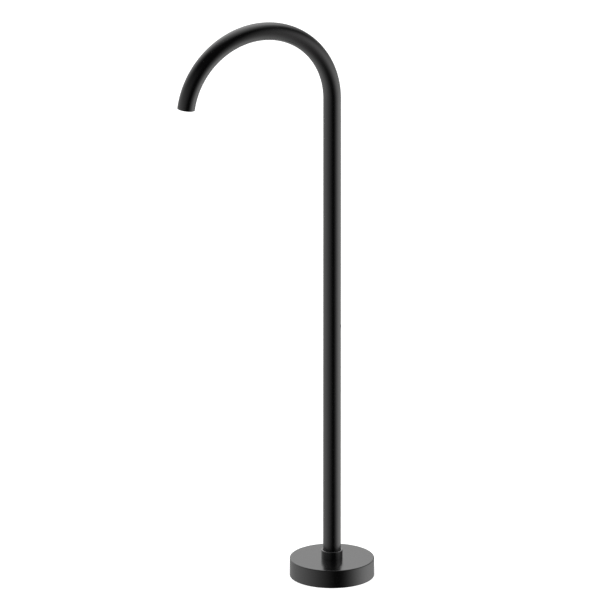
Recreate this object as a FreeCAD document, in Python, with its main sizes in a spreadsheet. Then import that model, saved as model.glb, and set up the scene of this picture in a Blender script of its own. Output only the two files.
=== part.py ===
import FreeCAD, Part
import os
import re

import Sketcher

# A floor standing bath filler. One bent tube turns on a standpipe that a hub and plate hold to the floor.
# +Z is up, the origin is on the floor on the axis of the tube, and the outlet reaches towards -Y.

# Driving dimensions, in millimetres and degrees. Each is set once, in the sheet.
SIZES = {
    # the tube: a straight riser, bent over in one plain arch
    "tube_dia": 31.8,
    "tube_wall": 1.5,
    "spring_height": 893.0,
    "arch_radius": 144.0,
    "arch_sweep": 172.0,
    "rim_break": 0.4,
    # the base cover and its collar
    "cover_dia": 150.6,
    "cover_height": 33.0,
    "cover_wall": 2.5,
    "cover_edge": 1.6,
    "cover_foot_edge": 0.4,
    "collar_height": 15.0,
    "collar_wall": 2.8,
    "collar_gap": 0.3,
    "collar_edge": 0.9,
    "neck_wall": 1.3,
    "nut_wall": 4.5,
    "nut_thickness": 3.5,
    "nut_slot_width": 3.0,
    "nut_slot_depth": 1.6,
    "nut_slots": 4,
    # the plate on the floor and its four fixing holes
    "gasket_thickness": 2.0,
    "gasket_hole_gap": 0.3,
    "plate_thickness": 6.0,
    "plate_gap": 8.8,
    "plate_edge": 0.6,
    "fixing_hole_dia": 8.5,
    "fixing_margin": 12.0,
    "fixing_count": 4,
    # the hub, with a 1/2 inch pipe thread drawn at its smaller diameter
    "inlet_bore": 18.63,
    "inlet_length": 12.0,
    "spigot_gap": 0.2,
    "boss_inset": 0.9,
    "boss_height": 9.0,
    "flange_thickness": 7.0,
    "flange_margin": 6.8,
    "waterway_dia": 15.0,
    "socket_depth": 10.0,
    # the screws that hold the hub to the plate
    "hub_screw_dia": 5.0,
    "hub_screw_length": 12.0,
    "hub_screw_offset": 10.1,
    "hub_screw_count": 4,
    "screw_head_dia": 8.5,
    "screw_head_height": 5.0,
    "screw_key": 4.0,
    "screw_key_depth": 2.5,
    "screw_hole_gap": 0.25,
    "thread_gap": 0.05,
    # the standpipe and the turned head that the tube swivels on
    "standpipe_gap": 3.4,
    "standpipe_wall": 1.5,
    "braze_gap": 0.05,
    "swivel_height": 465.5,
    "head_length": 48.0,
    "head_gap": 0.1,
    "head_wall": 2.6,
    "head_spigot_length": 14.0,
    "sleeve_length": 44.0,
    "sleeve_wall": 2.35,
    # seals and bearings
    "running_gap": 0.04,
    "seat_gap": 0.02,
    "side_gap": 0.1,
    "bearing_offset": 18.0,
    "bearing_height": 4.0,
    "bearing_wall": 1.5,
    "seal_offset": 10.5,
    "seal_section": 1.7,
    "seal_groove_width": 2.6,
    "bush_wall": 1.0,
    "bush_length": 11.0,
    "foot_ring_length": 12.0,
    "washer_thickness": 1.5,
    "collar_seal_section": 1.6,
    # the screw in the back of the tube, whose plain point runs in the head's groove
    "set_screw_dia": 8.0,
    "set_screw_proud": 0.6,
    "set_screw_edge": 0.2,
    "point_dia": 5.0,
    "point_length": 2.1,
    "point_gap": 0.2,
    "set_screw_key": 4.0,
    "set_screw_key_depth": 4.0,
    # the outlet and the insert that screws into it
    "outlet_recess": 1.0,
    "outlet_socket_length": 13.0,
    "outlet_socket_wall": 2.85,
    "end_bore_gap": 0.1,
    "end_bore_depth": 14.5,
    "shoulder_thickness": 2.0,
    "shoulder_depth": 1.8,
    "outlet_seal_thickness": 1.5,
    "outlet_seal_gap": 0.3,
    "housing_wall": 1.35,
    "housing_flange": 0.8,
    "housing_gap": 0.4,
    "lip_thickness": 1.2,
    "lip_depth": 0.8,
    "insert_height": 7.5,
    "insert_hole_dia": 2.2,
    "insert_hole_pitch": 2.6,
    "screen_thickness": 0.5,
    "screen_hole_dia": 1.4,
    "screen_hole_pitch": 2.05,
    "hole_margin": 0.4,
    "holes_per_ring": 6,
}

# Radii, heights and gaps that follow from the driving dimensions, as expressions.
DERIVED = {
    "tube_outer": "tube_dia / 2",
    "tube_inner": "tube_outer - tube_wall",
    # heights up the base
    "plate_top": "gasket_thickness + plate_thickness",
    "flange_top": "plate_top + flange_thickness",
    "boss_top": "flange_top + boss_height",
    "tube_foot": "boss_top + washer_thickness",
    "socket_floor": "boss_top - socket_depth",
    "screw_foot": "flange_top - hub_screw_length",
    "screw_head_top": "flange_top + screw_head_height",
    "cover_inside": "cover_height - cover_wall",
    "neck_foot": "cover_inside - nut_thickness",
    "collar_top": "cover_height + collar_height",
    "collar_seal_height": "cover_height + collar_height / 2",
    # radii of the base
    "plate_outer": "cover_dia / 2 - cover_wall - plate_gap",
    "fixing_circle": "plate_outer - fixing_margin",
    "boss_outer": "tube_outer - boss_inset",
    "screw_circle": "tube_outer + hub_screw_offset",
    "flange_outer": "screw_circle + flange_margin",
    "collar_bore": "tube_outer + collar_gap",
    "collar_outer": "collar_bore + collar_wall",
    "neck_outer": "collar_bore + neck_wall",
    "nut_outer": "neck_outer + nut_wall",
    "collar_seal_inner": "tube_outer + running_gap",
    "collar_seal_radius": "collar_seal_inner + collar_seal_section / 2",
    "collar_groove": "collar_seal_inner + collar_seal_section + seat_gap",
    "collar_groove_half": "collar_seal_section / 2 + side_gap",
    # the standpipe, its head and the sleeve round them
    "standpipe_outer": "tube_inner - standpipe_gap",
    "standpipe_inner": "standpipe_outer - standpipe_wall",
    "sleeve_outer": "tube_inner - braze_gap",
    "sleeve_inner": "sleeve_outer - sleeve_wall",
    "head_outer": "sleeve_inner - head_gap",
    "head_foot": "swivel_height - head_length / 2",
    "head_top": "swivel_height + head_length / 2",
    "bearing_outer": "sleeve_inner - running_gap",
    "bearing_inner": "bearing_outer - bearing_wall",
    "bearing_groove": "bearing_inner - seat_gap",
    "bearing_half": "bearing_height / 2 + side_gap",
    "seal_radius": "bearing_outer - seal_section / 2",
    "seal_groove": "bearing_outer - seal_section - seat_gap",
    "seal_half": "seal_groove_width / 2",
    "point_tip": "head_outer - point_length",
    "point_groove": "point_tip - point_gap",
    "point_half": "point_dia / 2 + point_gap",
    "head_bore": "point_groove - head_wall",
    # the bearing at the foot of the tube
    "bush_inner": "standpipe_outer + seat_gap",
    "bush_outer": "bush_inner + bush_wall",
    "foot_ring_inner": "bush_outer + running_gap",
    # the middle of the tube's open end
    "outlet_y": "-arch_radius * (1 - cos(arch_sweep))",
    "outlet_z": "spring_height + arch_radius * sin(arch_sweep)",
    # the outlet, measured along the water's way out from the end of the tube
    "end_bore": "tube_inner + end_bore_gap",
    "socket_outer": "end_bore - braze_gap",
    "thread_radius": "socket_outer - outlet_socket_wall",
    "shoulder_bore": "thread_radius - shoulder_depth",
    "socket_back": "-outlet_recess - outlet_socket_length",
    "shoulder_face": "socket_back + shoulder_thickness",
    "seal_face": "shoulder_face + outlet_seal_thickness",
    "housing_outer": "thread_radius - thread_gap",
    "housing_inner": "housing_outer - housing_wall",
    "lip_inner": "housing_inner - lip_depth",
    "housing_face": "housing_flange - outlet_recess",
    "lip_back": "housing_face - lip_thickness",
    "insert_back": "lip_back - insert_height",
    "screen_back": "insert_back - screen_thickness",
    "insert_outer": "housing_inner - thread_gap",
}

FULL_TURN = 360
HEXAGON_STEP = 60
LEVEL_AXIS = FreeCAD.Vector(1, 0, 0)
TO_THE_BACK = -90  # turns a part's own Z axis from up to +Y
MATCH = 0.001  # how close two sizes are when they are the same

WORD = re.compile(r"[a-z_]+")

document = FreeCAD.newDocument("bath_filler")
sheet = document.addObject("Spreadsheet::Sheet", "Sizes")


def fill_sheet():
    """One row for each driving dimension: its name, and its value under an alias of that name."""
    for row, (name, size) in enumerate(SIZES.items(), start=1):
        sheet.set("A%d" % row, name)
        sheet.set("B%d" % row, str(size))
        sheet.setAlias("B%d" % row, name)
    document.recompute()


def bound(expression):
    """The expression with its derived sizes written out and its driving ones read from the sheet."""
    def expand(match):
        word = match.group()
        if word in DERIVED:
            return "(%s)" % bound(DERIVED[word])
        return "Sizes." + word if word in SIZES else word
    return WORD.sub(expand, expression)


def value(expression):
    """What an expression comes to now."""
    return float(sheet.evalExpression(bound(expression)))


# ---------------------------------------------------------------- sketches and features


def new_body(name):
    """An empty body. Screws and other sets may hold several solids."""
    body = document.addObject("PartDesign::Body", name)
    body.Label = name
    body.AllowCompound = True
    return body


def origin_part(body, role):
    """A plane or an axis of the body's own origin."""
    return [part for part in body.Origin.OriginFeatures if part.Role == role][0]


def new_sketch(body, role, height="0"):
    """A sketch on one of the body's origin planes, moved out along its normal by height."""
    sketch = body.newObject("Sketcher::SketchObject", body.Name + "_sketch")
    sketch.AttachmentSupport = [(origin_part(body, role), "")]
    sketch.MapMode = "FlatFace"
    sketch.setExpression(".AttachmentOffset.Base.z", bound(height))
    return sketch


def hold(sketch, kind, where, expression):
    """A dimension of the sketch that follows an expression."""
    index = sketch.addConstraint(Sketcher.Constraint(kind, *where, value(expression)))
    sketch.setExpression("Constraints[%d]" % index, bound(expression))


def hold_point(sketch, geometry, point, across, up):
    """Holds a point of the sketch at its two distances from the origin."""
    hold(sketch, "DistanceX", (-1, 1, geometry, point), across)
    hold(sketch, "DistanceY", (-1, 1, geometry, point), up)


def draw_outline(sketch, corners):
    """A closed outline of straight lines through corners, each given as across and up."""
    points = [FreeCAD.Vector(value(across), value(up), 0) for across, up in corners]
    count = len(points)
    lines = [
        sketch.addGeometry(Part.LineSegment(points[i], points[(i + 1) % count]), False)
        for i in range(count)
    ]
    for i, line in enumerate(lines):
        sketch.addConstraint(Sketcher.Constraint("Coincident", line, 2, lines[(i + 1) % count], 1))
        hold_point(sketch, line, 1, *corners[i])


def draw_circle(sketch, radius, across="0", up="0"):
    """A circle of a radius round a centre."""
    centre = FreeCAD.Vector(value(across), value(up), 0)
    circle = Part.Circle(centre, FreeCAD.Vector(0, 0, 1), value(radius))
    index = sketch.addGeometry(circle, False)
    hold(sketch, "Radius", (index,), radius)
    hold_point(sketch, index, 3, across, up)


def draw_hexagon(sketch, across_flats, across="0"):
    """A regular hexagon for a key, with two corners on the sketch's first axis."""
    reach = "%s / 2 / cos(%d)" % (across_flats, HEXAGON_STEP / 2)
    draw_outline(sketch, [
        ("%s + %s * cos(%d)" % (across, reach, angle), "%s * sin(%d)" % (reach, angle))
        for angle in range(0, FULL_TURN, HEXAGON_STEP)
    ])


def pad(body, sketch, length):
    """Stands the sketch up along its normal."""
    feature = body.newObject("PartDesign::Pad", body.Name + "_pad")
    feature.Profile = sketch
    feature.setExpression("Length", bound(length))
    document.recompute()
    return feature


def pocket(body, sketch, depth):
    """Cuts the sketch into the body, against the sketch's normal, and makes sure that it cut."""
    before = body.Shape.Volume
    feature = body.newObject("PartDesign::Pocket", body.Name + "_pocket")
    feature.Profile = sketch
    feature.setExpression("Length", bound(depth))
    document.recompute()
    if not feature.Shape.Volume < before:
        raise RuntimeError("a pocket of %s cuts nothing" % body.Name)
    return feature


def repeat_round(body, feature, count):
    """Repeats a feature round the body's Z axis."""
    pattern = body.newObject("PartDesign::PolarPattern", body.Name + "_pattern")
    pattern.Originals = [feature]
    pattern.Axis = (origin_part(body, "Z_Axis"), [""])
    pattern.Angle = FULL_TURN
    pattern.setExpression("Occurrences", bound(count))
    body.Tip = pattern
    document.recompute()
    return pattern


def turn(body, corners):
    """Turns an outline of radii and heights once round the body's Z axis."""
    sketch = new_sketch(body, "YZ_Plane")
    draw_outline(sketch, corners)
    return revolve(body, sketch)


def revolve(body, sketch):
    """Turns a sketch on the YZ plane once round the body's Z axis."""
    feature = body.newObject("PartDesign::Revolution", body.Name + "_turned")
    feature.Profile = sketch
    feature.ReferenceAxis = (sketch, ["V_Axis"])
    feature.Angle = FULL_TURN
    document.recompute()
    return feature


def rims(feature, places):
    """The names of a feature's round edges at the given pairs of radius and height."""
    wanted = [(value(radius), value(height)) for radius, height in places]
    names = []
    for index, edge in enumerate(feature.Shape.Edges, start=1):
        if not isinstance(edge.Curve, Part.Circle):
            continue
        ring = (edge.Curve.Radius, edge.Curve.Center.z)
        if any(abs(ring[0] - r) < MATCH and abs(ring[1] - z) < MATCH for r, z in wanted):
            names.append("Edge%d" % index)
    return names


def round_off(body, feature, names, radius):
    """Rounds the named edges of the body's last feature."""
    if not names:
        raise RuntimeError("no edge to round on %s" % body.Name)
    fillet = body.newObject("PartDesign::Fillet", body.Name + "_fillet")
    fillet.Base = (feature, names)
    fillet.setExpression("Radius", bound(radius))
    document.recompute()
    return fillet


def ring(name, inner, outer, bottom, top):
    """A plain turned ring."""
    body = new_body(name)
    turn(body, [(inner, bottom), (outer, bottom), (outer, top), (inner, top)])
    return body


def round_seal(name, radius, height, section):
    """A rubber ring of round section, drawn as thick as it is when squeezed."""
    body = new_body(name)
    sketch = new_sketch(body, "YZ_Plane")
    draw_circle(sketch, "%s / 2" % section, radius, height)
    revolve(body, sketch)
    return body


def tilted(angle):
    """A placement turned about the level axis across the arch."""
    return FreeCAD.Placement(FreeCAD.Vector(), FreeCAD.Rotation(LEVEL_AXIS, angle))


def at_outlet(body):
    """Puts a body at the end of the tube, with its Z axis along the water's way out."""
    body.Placement = tilted(value("arch_sweep"))
    body.setExpression("Placement.Base.y", bound("outlet_y"))
    body.setExpression("Placement.Base.z", bound("outlet_z"))
    body.setExpression("Placement.Rotation.Angle", bound("arch_sweep * 1 deg"))
    document.recompute()
    return body


# ---------------------------------------------------------------- the floor plate and hub


def drill_fixings(body, top, depth, radius):
    """The holes for the screws into the floor, half a step round from the hub's screws."""
    sketch = new_sketch(body, "XY_Plane", top)
    half_step = "180 / fixing_count"
    across = "fixing_circle * cos(%s)" % half_step
    up = "fixing_circle * sin(%s)" % half_step
    draw_circle(sketch, radius, across, up)
    repeat_round(body, pocket(body, sketch, depth), "fixing_count")


def drill_hub_holes(body, top, depth, radius):
    """The holes for the screws that hold the hub to the plate."""
    sketch = new_sketch(body, "XY_Plane", top)
    draw_circle(sketch, radius, "screw_circle")
    repeat_round(body, pocket(body, sketch, depth), "hub_screw_count")


def make_floor_gasket():
    """The rubber sheet under the plate."""
    body = ring("floor_gasket", "boss_outer + spigot_gap + gasket_hole_gap", "plate_outer",
                "0", "gasket_thickness")
    drill_fixings(body, "gasket_thickness", "gasket_thickness", "fixing_hole_dia / 2 + gasket_hole_gap")
    return body


def make_mounting_plate():
    """The steel plate that screws down to the floor."""
    body = new_body("mounting_plate")
    turned = turn(body, [
        ("boss_outer + spigot_gap", "gasket_thickness"),
        ("plate_outer", "gasket_thickness"),
        ("plate_outer", "plate_top"),
        ("boss_outer + spigot_gap", "plate_top"),
    ])
    round_off(body, turned, rims(turned, [("plate_outer", "plate_top")]), "plate_edge")
    drill_fixings(body, "plate_top", "plate_thickness", "fixing_hole_dia / 2")
    drill_hub_holes(body, "plate_top", "plate_thickness", "hub_screw_dia / 2 + thread_gap")
    return body


def make_inlet_body():
    """The hub: threaded inlet below, flange on the plate, and a socket on top for the standpipe."""
    body = new_body("inlet_body")
    turn(body, [
        ("inlet_bore / 2", "0"),
        ("boss_outer", "0"),
        ("boss_outer", "plate_top"),
        ("flange_outer", "plate_top"),
        ("flange_outer", "flange_top"),
        ("boss_outer", "flange_top"),
        ("boss_outer", "boss_top"),
        ("standpipe_outer + braze_gap", "boss_top"),
        ("standpipe_outer + braze_gap", "socket_floor"),
        ("waterway_dia / 2", "socket_floor"),
        ("waterway_dia / 2", "inlet_length"),
        ("inlet_bore / 2", "inlet_length"),
    ])
    drill_hub_holes(body, "flange_top", "flange_thickness", "hub_screw_dia / 2 + screw_hole_gap")
    return body


def make_hub_screws():
    """Four socket head screws through the hub's flange into the plate."""
    body = new_body("hub_screws")
    shank_sketch = new_sketch(body, "XY_Plane", "screw_foot")
    draw_circle(shank_sketch, "hub_screw_dia / 2", "screw_circle")
    shank = pad(body, shank_sketch, "hub_screw_length")
    head_sketch = new_sketch(body, "XY_Plane", "flange_top")
    draw_circle(head_sketch, "screw_head_dia / 2", "screw_circle")
    head = pad(body, head_sketch, "screw_head_height")
    key_sketch = new_sketch(body, "XY_Plane", "screw_head_top")
    draw_hexagon(key_sketch, "screw_key", "screw_circle")
    key = pocket(body, key_sketch, "screw_key_depth")
    pattern = repeat_round(body, shank, "hub_screw_count")
    pattern.Originals = [shank, head, key]
    document.recompute()
    return body


# ---------------------------------------------------------------- the standpipe and its bearings


def make_standpipe():
    """The inner water pipe, from the hub's socket up to the head."""
    return ring("standpipe", "standpipe_inner", "standpipe_outer", "socket_floor", "head_foot")


def groove(radius, height, half_width, outer):
    """The four corners of a groove in a turned outline, from its foot up."""
    low = "%s - %s" % (height, half_width)
    high = "%s + %s" % (height, half_width)
    return [(outer, low), (radius, low), (radius, high), (outer, high)]


def make_standpipe_head():
    """The turned head: two bearing grooves, two seal grooves and the groove for the screw's point."""
    body = new_body("standpipe_head")
    grooves = [
        ("bearing_groove", "swivel_height - bearing_offset", "bearing_half"),
        ("seal_groove", "swivel_height - seal_offset", "seal_half"),
        ("point_groove", "swivel_height", "point_half"),
        ("seal_groove", "swivel_height + seal_offset", "seal_half"),
        ("bearing_groove", "swivel_height + bearing_offset", "bearing_half"),
    ]
    corners = [
        ("head_bore", "head_foot - head_spigot_length"),
        ("standpipe_inner - braze_gap", "head_foot - head_spigot_length"),
        ("standpipe_inner - braze_gap", "head_foot"),
        ("head_outer", "head_foot"),
    ]
    for radius, height, half_width in grooves:
        corners += groove(radius, height, half_width, "head_outer")
    corners += [("head_outer", "head_top"), ("head_bore", "head_top")]
    turn(body, corners)
    return body


def make_head_rings():
    """The seals and glide rings in the head, one of each below and above the screw."""
    rings = []
    for side, sign in (("lower", "-"), ("upper", "+")):
        seal_height = "swivel_height %s seal_offset" % sign
        rings.append(round_seal(side + "_o_ring", "seal_radius", seal_height, "seal_section"))
        middle = "swivel_height %s bearing_offset" % sign
        rings.append(ring(side + "_glide_ring", "bearing_inner", "bearing_outer",
                          middle + " - bearing_height / 2", middle + " + bearing_height / 2"))
    return rings


def make_foot_bearing():
    """The plastic washer that carries the tube, and the bush that steadies its foot."""
    washer = ring("thrust_washer", "bush_inner", "boss_outer", "boss_top", "tube_foot")
    bush_foot = "tube_foot + (foot_ring_length - bush_length) / 2"
    bush = ring("foot_bush", "bush_inner", "bush_outer", bush_foot, bush_foot + " + bush_length")
    return [washer, bush]


# ---------------------------------------------------------------- the tube and what is brazed into it


def drill_screw_hole(body, radius):
    """The level hole in the back of a part, for the screw that holds the tube on its standpipe."""
    sketch = new_sketch(body, "XZ_Plane")
    draw_circle(sketch, radius, "0", "swivel_height")
    return pocket(body, sketch, "tube_dia")


def bore_outlet(body):
    """Bores the end of the arch straight and a little wider, as the seat of the threaded ring."""
    sketch = new_sketch(body, "XY_Plane", "outlet_z")
    sketch.AttachmentOffset = tilted(value("arch_sweep"))
    sketch.setExpression(".AttachmentOffset.Base.y", bound("outlet_y"))
    sketch.setExpression(".AttachmentOffset.Rotation.Angle", bound("arch_sweep * 1 deg"))
    draw_circle(sketch, "end_bore")
    return pocket(body, sketch, "end_bore_depth")


def make_spout_tube():
    """The tube: a straight riser, then the arch, which turns round a level axis beside the riser."""
    body = new_body("spout_tube")
    riser_sketch = new_sketch(body, "XY_Plane", "tube_foot")
    draw_circle(riser_sketch, "tube_outer")
    draw_circle(riser_sketch, "tube_inner")
    pad(body, riser_sketch, "spring_height - tube_foot")
    drill_screw_hole(body, "set_screw_dia / 2 + thread_gap")
    arch_sketch = new_sketch(body, "XY_Plane", "spring_height")
    draw_circle(arch_sketch, "tube_outer")
    draw_circle(arch_sketch, "tube_inner")
    radius = value("arch_radius")
    half = value("tube_outer")
    axis = arch_sketch.addGeometry(
        Part.LineSegment(FreeCAD.Vector(-half, -radius, 0), FreeCAD.Vector(half, -radius, 0)), True)
    hold_point(arch_sketch, axis, 1, "-tube_outer", "-arch_radius")
    hold_point(arch_sketch, axis, 2, "tube_outer", "-arch_radius")
    arch = body.newObject("PartDesign::Revolution", "spout_tube_arch")
    arch.Profile = arch_sketch
    arch.ReferenceAxis = (arch_sketch, ["Axis0"])
    arch.setExpression("Angle", bound("arch_sweep"))
    document.recompute()
    bore = bore_outlet(body)
    end = FreeCAD.Vector(0, value("outlet_y"), value("outlet_z"))
    names = [
        "Edge%d" % index
        for index, edge in enumerate(bore.Shape.Edges, start=1)
        if isinstance(edge.Curve, Part.Circle) and edge.Curve.Center.distanceToPoint(end) < MATCH
    ]
    round_off(body, bore, names, "rim_break")
    return body


def make_swivel_sleeve():
    """The brass sleeve inside the tube that runs on the head's rings."""
    half = "sleeve_length / 2"
    body = ring("swivel_sleeve", "sleeve_inner", "sleeve_outer",
                "swivel_height - " + half, "swivel_height + " + half)
    drill_screw_hole(body, "set_screw_dia / 2 + thread_gap")
    return body


def make_set_screw():
    """The flat screw in the back of the tube, with a key socket and a plain point."""
    body = new_body("set_screw")
    turned = turn(body, [
        ("0", "point_tip"),
        ("point_dia / 2", "point_tip"),
        ("point_dia / 2", "sleeve_inner"),
        ("set_screw_dia / 2", "sleeve_inner"),
        ("set_screw_dia / 2", "tube_outer + set_screw_proud"),
        ("0", "tube_outer + set_screw_proud"),
    ])
    face = rims(turned, [("set_screw_dia / 2", "tube_outer + set_screw_proud")])
    round_off(body, turned, face, "set_screw_edge")
    key_sketch = new_sketch(body, "XY_Plane", "tube_outer + set_screw_proud")
    draw_hexagon(key_sketch, "set_screw_key")
    pocket(body, key_sketch, "set_screw_key_depth")
    body.Placement = tilted(TO_THE_BACK)
    body.setExpression("Placement.Base.z", bound("swivel_height"))
    document.recompute()
    return body


def make_foot_ring():
    """The brass ring in the lower end of the tube, which stands on the washer and runs on the bush."""
    return ring("foot_ring", "foot_ring_inner", "sleeve_outer", "tube_foot", "tube_foot + foot_ring_length")


# ---------------------------------------------------------------- the outlet


def make_outlet_socket():
    """The threaded ring in the end of the tube, with a shoulder for the seal."""
    body = new_body("outlet_socket")
    turn(body, [
        ("shoulder_bore", "socket_back"),
        ("socket_outer", "socket_back"),
        ("socket_outer", "-outlet_recess"),
        ("thread_radius", "-outlet_recess"),
        ("thread_radius", "shoulder_face"),
        ("shoulder_bore", "shoulder_face"),
    ])
    return at_outlet(body)


def make_outlet_seal():
    """The flat rubber washer between the shoulder and the housing."""
    return at_outlet(ring("outlet_seal", "shoulder_bore", "thread_radius - outlet_seal_gap",
                          "shoulder_face", "seal_face"))


def make_stream_housing():
    """The threaded ring that holds the insert and screws into the outlet."""
    body = new_body("stream_housing")
    turn(body, [
        ("housing_inner", "seal_face"),
        ("housing_outer", "seal_face"),
        ("housing_outer", "-outlet_recess"),
        ("tube_inner - housing_gap", "-outlet_recess"),
        ("tube_inner - housing_gap", "housing_face"),
        ("lip_inner", "housing_face"),
        ("lip_inner", "lip_back"),
        ("housing_inner", "lip_back"),
    ])
    return at_outlet(body)


def drilled_disc(name, back, thickness, hole_dia, pitch):
    """A disc drilled in the middle and on as many rings of holes as the housing's lip leaves open."""
    body = new_body(name)
    disc_sketch = new_sketch(body, "XY_Plane", back)
    draw_circle(disc_sketch, "insert_outer")
    pad(body, disc_sketch, thickness)
    front = "%s + %s" % (back, thickness)
    radius = "%s / 2" % hole_dia
    centre_sketch = new_sketch(body, "XY_Plane", front)
    draw_circle(centre_sketch, radius)
    pocket(body, centre_sketch, thickness)
    rings = int(value("(lip_inner - %s - hole_margin) / %s" % (radius, pitch)))
    for number in range(1, rings + 1):
        ring_sketch = new_sketch(body, "XY_Plane", front)
        draw_circle(ring_sketch, radius, "%d * %s" % (number, pitch))
        hole = pocket(body, ring_sketch, thickness)
        repeat_round(body, hole, "%d * holes_per_ring" % number)
    return at_outlet(body)


def make_stream_insert():
    """The thick drilled disc that straightens the water."""
    return drilled_disc("stream_insert", "insert_back", "insert_height",
                        "insert_hole_dia", "insert_hole_pitch")


def make_stream_screen():
    """The thin perforated disc that lies on the insert."""
    return drilled_disc("stream_screen", "screen_back", "screen_thickness",
                        "screen_hole_dia", "screen_hole_pitch")


# ---------------------------------------------------------------- the cover


def make_cover_disc():
    """The round cover over the plate and hub, open underneath."""
    body = new_body("cover_disc")
    hole = "neck_outer + thread_gap"
    inside = "cover_dia / 2 - cover_wall"
    turned = turn(body, [
        (inside, "0"),
        ("cover_dia / 2", "0"),
        ("cover_dia / 2", "cover_height"),
        (hole, "cover_height"),
        (hole, "cover_inside"),
        (inside, "cover_inside"),
    ])
    top = round_off(body, turned, rims(turned, [("cover_dia / 2", "cover_height")]), "cover_edge")
    foot = rims(top, [("cover_dia / 2", "0"), (inside, "0")])
    round_off(body, top, foot, "cover_foot_edge")
    return body


def make_cover_collar():
    """The collar: it stands on the cover, and its neck goes down through the cover into the ring nut."""
    body = new_body("cover_collar")
    corners = [
        ("neck_outer", "neck_foot"),
        ("neck_outer", "cover_height"),
        ("collar_outer", "cover_height"),
        ("collar_outer", "collar_top"),
        ("collar_bore", "collar_top"),
    ]
    seal_groove = groove("collar_groove", "collar_seal_height", "collar_groove_half", "collar_bore")
    corners += reversed(seal_groove)
    corners.append(("collar_bore", "neck_foot"))
    turned = turn(body, corners)
    edges = rims(turned, [("collar_outer", "collar_top"), ("collar_bore", "collar_top")])
    round_off(body, turned, edges, "collar_edge")
    return body


def make_collar_nut():
    """The ring nut under the cover, with four slots for a spanner."""
    body = ring("collar_nut", "neck_outer + thread_gap", "nut_outer", "neck_foot", "cover_inside")
    sketch = new_sketch(body, "XY_Plane", "cover_inside")
    half = "nut_slot_width / 2"
    inner = "nut_outer - nut_slot_depth"
    outer = "nut_outer + nut_slot_depth"
    draw_outline(sketch, [(inner, "-" + half), (outer, "-" + half), (outer, half), (inner, half)])
    repeat_round(body, pocket(body, sketch, "nut_thickness"), "nut_slots")
    return body


def make_collar_o_ring():
    """The rubber ring in the collar that grips the tube."""
    return round_seal("collar_o_ring", "collar_seal_radius", "collar_seal_height", "collar_seal_section")


# ---------------------------------------------------------------- the whole


def make_parts():
    """Every sub-part, from the floor up."""
    parts = [make_floor_gasket(), make_mounting_plate(), make_inlet_body(), make_hub_screws()]
    parts += [make_standpipe(), make_standpipe_head()]
    parts += make_head_rings()
    parts += make_foot_bearing()
    parts += [make_spout_tube(), make_swivel_sleeve(), make_set_screw(), make_foot_ring()]
    parts += [make_outlet_socket(), make_outlet_seal(), make_stream_housing()]
    parts += [make_stream_insert(), make_stream_screen()]
    parts += [make_cover_disc(), make_cover_collar(), make_collar_nut(), make_collar_o_ring()]
    return parts


def check(parts):
    """Stops if anything failed to compute or a sub-part's shape is unsound."""
    for item in document.Objects:
        if "Invalid" in item.State or "Error" in item.State:
            raise RuntimeError("%s failed: %s" % (item.Name, item.State))
    for part in parts:
        if part.Shape.isNull() or not part.Shape.isValid() or not part.Shape.Solids:
            raise RuntimeError("%s has no sound shape" % part.Label)


def write(parts):
    """One file for each sub-part, named for it."""
    os.makedirs("parts", exist_ok=True)
    for part in parts:
        part.Shape.exportStep(os.path.join("parts", part.Label + ".step"))
        box = part.Shape.BoundBox
        print("%-16s %d solid(s) %9.0f mm3  z %.2f to %.2f"
              % (part.Label, len(part.Shape.Solids), part.Shape.Volume, box.ZMin, box.ZMax))


fill_sheet()
all_parts = make_parts()
document.recompute()
check(all_parts)
write(all_parts)
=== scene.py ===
import math

import bmesh
import bpy
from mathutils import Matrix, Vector


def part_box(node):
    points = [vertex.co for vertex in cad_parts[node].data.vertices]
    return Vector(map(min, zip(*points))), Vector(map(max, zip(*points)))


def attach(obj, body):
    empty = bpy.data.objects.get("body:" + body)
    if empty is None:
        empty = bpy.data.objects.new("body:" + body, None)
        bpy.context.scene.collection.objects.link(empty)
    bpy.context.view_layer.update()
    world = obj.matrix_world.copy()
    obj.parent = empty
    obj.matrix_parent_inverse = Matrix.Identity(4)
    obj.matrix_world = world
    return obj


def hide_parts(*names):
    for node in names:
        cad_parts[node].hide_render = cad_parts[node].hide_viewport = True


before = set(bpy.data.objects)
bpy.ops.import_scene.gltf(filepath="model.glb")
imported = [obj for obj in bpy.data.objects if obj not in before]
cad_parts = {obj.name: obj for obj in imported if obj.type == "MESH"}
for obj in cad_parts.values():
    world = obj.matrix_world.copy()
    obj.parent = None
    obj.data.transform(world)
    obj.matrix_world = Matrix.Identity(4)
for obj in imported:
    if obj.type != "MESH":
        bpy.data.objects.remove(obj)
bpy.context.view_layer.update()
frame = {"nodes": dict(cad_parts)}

# A floor standing bath filler: one tube bent over in a plain arch, a round cover and collar at its foot, and
# the fittings inside, which show when the cover is lifted, the tube turned or the outlet seen from below.

bl_info = {
    "name": "Floor Standing Bath Filler",
    "version": (1, 0, 0),
    "blender": (4, 5, 0),
    "location": "3D View > Sidebar > Bath Filler",
    "description": "Builds a floor standing bath filler and the studio that it stands in",
    "category": "Add Mesh",
}

MM = 0.001
SHARP = math.radians(35)  # an edge bent more than this stays crisp, and the steps of a rounding are far less
ROUNDING_STEPS = 8
GUARD = 0.15 * MM  # a loop this far from each rounding keeps the flat beside it flat in its shading
TURNED_SIDES = 256


def linear(hex_colour):
    """The linear red, green, blue and alpha of an sRGB hex colour."""
    channels = [int(hex_colour[i:i + 2], 16) / 255 for i in (1, 3, 5)]
    return [c / 12.92 if c <= 0.04045 else ((c + 0.055) / 1.055) ** 2.4 for c in channels] + [1.0]


def size_of(node):
    """The lengths of a node's box along X, Y and Z."""
    low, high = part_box(node)
    return high - low


def middle_of(node):
    """The middle of a node's box."""
    low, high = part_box(node)
    return (low + high) / 2


# ---------------------------------------------------------------- what a user may change


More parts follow.
